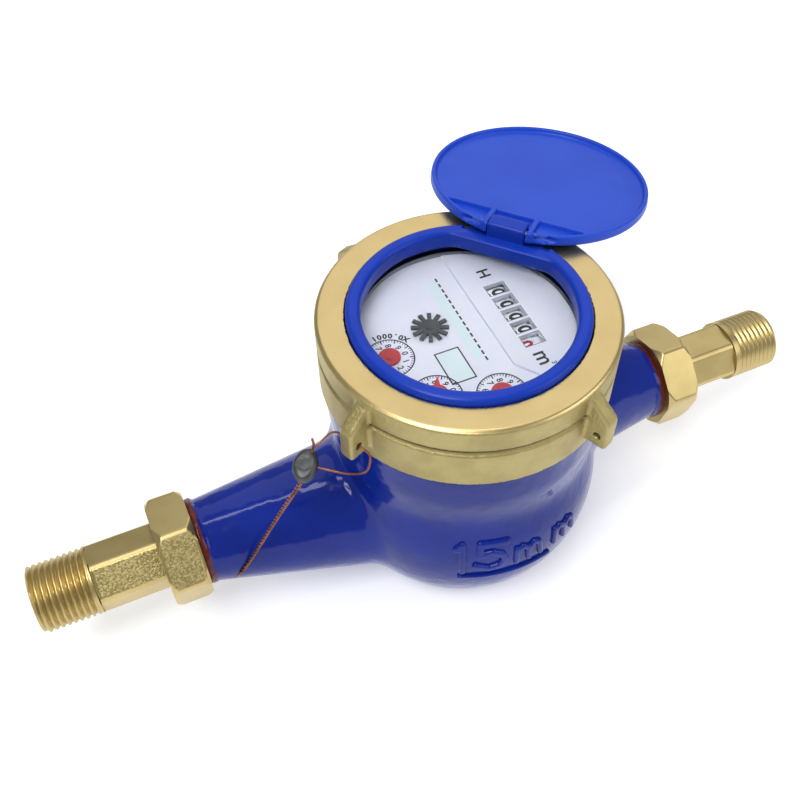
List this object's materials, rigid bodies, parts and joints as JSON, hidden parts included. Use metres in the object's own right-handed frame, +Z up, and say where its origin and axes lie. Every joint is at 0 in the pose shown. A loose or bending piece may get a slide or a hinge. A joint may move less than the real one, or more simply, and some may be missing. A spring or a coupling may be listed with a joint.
{
  "type": "water meter",
  "caption": "Household multi-jet water meter with a blue cast body, brass ring and union couplings, a hinged dial lid standing open and a lead seal on a copper wire.",
  "frame": {"origin": "centre of the base, on the axis of the ring and the register", "axes": "+X along the pipe towards the outlet, +Z up, +Y to the back as the picture shows it"},
  "size_m": [0.2586, 0.1247, 0.1042],
  "materials": {
    "enamel": "gloss enamel on a sand-cast surface",
    "ring_brass": "machined top, sand-cast side",
    "fitting_brass": "machined flats and threads",
    "cover_plastic": "moulded, satin gloss",
    "steel": "drawn wire",
    "glass": "clear",
    "rubber": "moulded",
    "dial_plastic": "printed",
    "insert_plastic": "moulded",
    "gear_plastic": "moulded",
    "star_plastic": "moulded",
    "pointer_plastic": "moulded",
    "litre_drum": "printed",
    "figure_drum": "printed",
    "copper": "bare copper wire",
    "lead": "pressed lead, dull"
  },
  "bodies": {
    "meter": {"body_casting": "enamel", "cover_ring": "ring_brass", "dial_bezel": "cover_plastic", "hinge_pin": "steel", "dial_glass": "glass", "glass_gasket": "rubber", "body_gasket": "rubber", "dial_plate": "dial_plastic", "register_cup": "dial_plastic", "drum_axle": "steel", "carry_axle": "steel", "chamber_cover": "insert_plastic", "measuring_chamber": "insert_plastic", "strainer_basket": "insert_plastic", "impeller_pivot": "steel", "inlet_nut": "fitting_brass", "outlet_nut": "fitting_brass", "inlet_tailpiece": "fitting_brass", "outlet_tailpiece": "fitting_brass", "inlet_washer": "rubber", "outlet_washer": "rubber", "seal_wire": "copper", "seal_pellet": "lead"},
    "lid": {"lid": "cover_plastic"},
    "impeller": {"impeller": "insert_plastic"},
    "star": {"star_arbor": "gear_plastic", "leak_star": "star_plastic"},
    "idler_1": {"idler_1": "gear_plastic"},
    "pointer_1": {"hand_arbor_1": "gear_plastic", "hand_1": "pointer_plastic"},
    "idler_2": {"idler_2": "gear_plastic"},
    "pointer_2": {"hand_arbor_2": "gear_plastic", "hand_2": "pointer_plastic"},
    "idler_3": {"idler_3": "gear_plastic"},
    "pointer_3": {"hand_arbor_3": "gear_plastic", "hand_3": "pointer_plastic"},
    "worm": {"worm_arbor": "gear_plastic"},
    "drum_1": {"drum_1": "litre_drum"},
    "drum_2": {"drum_2": "figure_drum"},
    "drum_3": {"drum_3": "figure_drum"},
    "drum_4": {"drum_4": "figure_drum"},
    "drum_5": {"drum_5": "figure_drum"},
    "carry_1": {"carry_pinion_1": "gear_plastic"},
    "carry_2": {"carry_pinion_2": "gear_plastic"},
    "carry_3": {"carry_pinion_3": "gear_plastic"},
    "carry_4": {"carry_pinion_4": "gear_plastic"}
  },
  "joints": [
    {"name": "lid_hinge", "type": "hinge", "parent": "meter", "child": "lid", "pos_m": [0.0234, 0.02182, 0.1014], "axis": [-0.682, 0.7314, 0], "range_deg": [-189, 0]},
    {"name": "impeller_spin", "type": "hinge", "parent": "meter", "child": "impeller", "pos_m": [0, 0, 0.03], "axis": [0, 0, 1], "continuous": true},
    {"name": "star_spin", "type": "hinge", "parent": "meter", "child": "star", "pos_m": [-0.0095, 0.0051, 0.08], "axis": [0, 0, 1], "continuous": true},
    {"name": "idler_1_spin", "type": "hinge", "parent": "meter", "child": "idler_1", "pos_m": [-0.01912, 0.00671, 0.075], "axis": [0, 0, 1], "continuous": true},
    {"name": "pointer_1_spin", "type": "hinge", "parent": "meter", "child": "pointer_1", "pos_m": [-0.0245, -0.0005, 0.08], "axis": [0, 0, 1], "continuous": true},
    {"name": "idler_2_spin", "type": "hinge", "parent": "meter", "child": "idler_2", "pos_m": [-0.0203, -0.0093, 0.075], "axis": [0, 0, 1], "continuous": true},
    {"name": "pointer_2_spin", "type": "hinge", "parent": "meter", "child": "pointer_2", "pos_m": [-0.018, -0.018, 0.08], "axis": [0, 0, 1], "continuous": true},
    {"name": "idler_3_spin", "type": "hinge", "parent": "meter", "child": "idler_3", "pos_m": [-0.00827, -0.01867, 0.075], "axis": [0, 0, 1], "continuous": true},
    {"name": "pointer_3_spin", "type": "hinge", "parent": "meter", "child": "pointer_3", "pos_m": [-0.0015, -0.0246, 0.08], "axis": [0, 0, 1], "continuous": true},
    {"name": "worm_spin", "type": "hinge", "parent": "meter", "child": "worm", "pos_m": [0.008, -0.0158, 0.079], "axis": [0, 0, 1], "continuous": true},
    {"name": "drum_1_spin", "type": "hinge", "parent": "meter", "child": "drum_1", "pos_m": [0.015, -0.0115, 0.0793], "axis": [0, 1, 0], "continuous": true},
    {"name": "drum_2_spin", "type": "hinge", "parent": "meter", "child": "drum_2", "pos_m": [0.015, -0.006, 0.0793], "axis": [0, 1, 0], "continuous": true},
    {"name": "drum_3_spin", "type": "hinge", "parent": "meter", "child": "drum_3", "pos_m": [0.015, -0.0005, 0.0793], "axis": [0, 1, 0], "continuous": true},
    {"name": "drum_4_spin", "type": "hinge", "parent": "meter", "child": "drum_4", "pos_m": [0.015, 0.005, 0.0793], "axis": [0, 1, 0], "continuous": true},
    {"name": "drum_5_spin", "type": "hinge", "parent": "meter", "child": "drum_5", "pos_m": [0.015, 0.0105, 0.0793], "axis": [0, 1, 0], "continuous": true},
    {"name": "carry_1_spin", "type": "hinge", "parent": "meter", "child": "carry_1", "pos_m": [0.02212, -0.0082, 0.07218], "axis": [0, 1, 0], "continuous": true},
    {"name": "carry_2_spin", "type": "hinge", "parent": "meter", "child": "carry_2", "pos_m": [0.02212, -0.0027, 0.07218], "axis": [0, 1, 0], "continuous": true},
    {"name": "carry_3_spin", "type": "hinge", "parent": "meter", "child": "carry_3", "pos_m": [0.02212, 0.0028, 0.07218], "axis": [0, 1, 0], "continuous": true},
    {"name": "carry_4_spin", "type": "hinge", "parent": "meter", "child": "carry_4", "pos_m": [0.02212, 0.0083, 0.07218], "axis": [0, 1, 0], "continuous": true}
  ],
  "couplings": [
    {"joint": "star_spin", "follows": "impeller_spin", "ratio": -0.5},
    {"joint": "idler_1_spin", "follows": "impeller_spin", "ratio": 0.15},
    {"joint": "pointer_1_spin", "follows": "impeller_spin", "ratio": -0.05},
    {"joint": "idler_2_spin", "follows": "impeller_spin", "ratio": 0.015},
    {"joint": "pointer_2_spin", "follows": "impeller_spin", "ratio": -0.005},
    {"joint": "idler_3_spin", "follows": "impeller_spin", "ratio": 0.0015},
    {"joint": "pointer_3_spin", "follows": "impeller_spin", "ratio": -0.0005},
    {"joint": "worm_spin", "follows": "impeller_spin", "ratio": 0.0005},
    {"joint": "drum_1_spin", "follows": "impeller_spin", "ratio": -0.00005},
    {"joint": "drum_2_spin", "follows": "impeller_spin", "ratio": -0.000005},
    {"joint": "drum_3_spin", "follows": "impeller_spin", "ratio": -0.0000005},
    {"joint": "drum_4_spin", "follows": "impeller_spin", "ratio": -0.00000005},
    {"joint": "drum_5_spin", "follows": "impeller_spin", "ratio": -0.000000005},
    {"joint": "carry_1_spin", "follows": "impeller_spin", "ratio": 0.0000125},
    {"joint": "carry_2_spin", "follows": "impeller_spin", "ratio": 0.00000125},
    {"joint": "carry_3_spin", "follows": "impeller_spin", "ratio": 0.000000125},
    {"joint": "carry_4_spin", "follows": "impeller_spin", "ratio": 0.0000000125}
  ]
}
